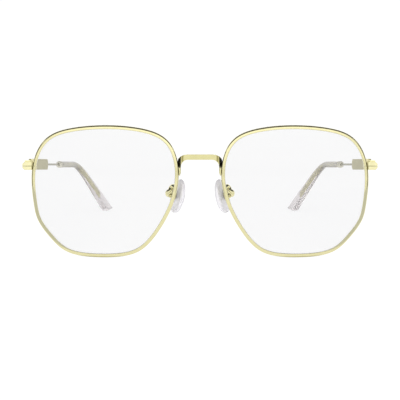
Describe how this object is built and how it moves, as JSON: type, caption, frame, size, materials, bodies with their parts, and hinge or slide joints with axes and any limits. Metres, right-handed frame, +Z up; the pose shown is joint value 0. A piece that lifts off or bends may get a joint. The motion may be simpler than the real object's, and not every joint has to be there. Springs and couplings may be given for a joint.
{
  "type": "eyeglasses",
  "caption": "Metal eyeglasses with geometric grooved rims, clear lenses, an arched flat bridge, adjustable nose pads and folding wire temples with clear ear tips.",
  "frame": {"origin": "middle of the open frame's box at the height of the table that the rims and tips stand on", "axes": "+X to the wearer's left, +Y from the front back to the ear tips, +Z up"},
  "size_m": [0.1428, 0.1436, 0.0534],
  "materials": {
    "gold": "polished pale gold plating",
    "hinge_gold": "satin pale gold plating",
    "plate_gold": "finely brushed pale gold plating",
    "wire_gold": "drawn wire with pale gold plating",
    "ferrule_gold": "polished darker gold plating",
    "screw": "turned screw with pale gold plating",
    "lens": "clear polished lens with a fine ground bevel",
    "clear_tip": "clear polished acetate, faintly rosy",
    "clear_insert": "clear hard plastic moulded into the pad",
    "clear_pad": "clear soft silicone"
  },
  "bodies": {
    "front": {"bridge": "gold", "rim_left": "gold", "lens_left": "lens", "end_piece_left": "gold", "closing_block_left": "gold", "rim_screw_left": "screw", "front_hinge_left": "hinge_gold", "hinge_screw_left": "screw", "pad_arm_left": "gold", "pad_box_left": "gold", "pad_screw_left": "screw", "rim_right": "gold", "lens_right": "lens", "end_piece_right": "gold", "closing_block_right": "gold", "rim_screw_right": "screw", "front_hinge_right": "hinge_gold", "hinge_screw_right": "screw", "pad_arm_right": "gold", "pad_box_right": "gold", "pad_screw_right": "screw"},
    "temple_left": {"temple_hinge_left": "hinge_gold", "temple_plate_left": "plate_gold", "temple_wire_left": "wire_gold", "temple_ferrule_left": "ferrule_gold", "temple_tip_left": "clear_tip"},
    "temple_right": {"temple_hinge_right": "hinge_gold", "temple_plate_right": "plate_gold", "temple_wire_right": "wire_gold", "temple_ferrule_right": "ferrule_gold", "temple_tip_right": "clear_tip"},
    "pad_left": {"pad_insert_left": "clear_insert", "nose_pad_left": "clear_pad"},
    "pad_right": {"pad_insert_right": "clear_insert", "nose_pad_right": "clear_pad"}
  },
  "joints": [
    {"name": "temple_left_fold", "type": "hinge", "parent": "front", "child": "temple_left", "pos_m": [0.067, -0.05912, 0.0367], "axis": [0, 0.1165, 0.9932], "range_deg": [0, 80]},
    {"name": "temple_right_fold", "type": "hinge", "parent": "front", "child": "temple_right", "pos_m": [-0.067, -0.05912, 0.0367], "axis": [0, -0.1165, -0.9932], "range_deg": [0, 68]},
    {"name": "pad_left_rock", "type": "hinge", "parent": "front", "child": "pad_left", "pos_m": [0.0107, -0.06262, 0.0244], "axis": [-0.5142, -0.848, -0.1282], "range_deg": [-8, 8]},
    {"name": "pad_right_rock", "type": "hinge", "parent": "front", "child": "pad_right", "pos_m": [-0.0107, -0.06262, 0.0244], "axis": [-0.5142, 0.848, 0.1282], "range_deg": [-8, 8]}
  ]
}
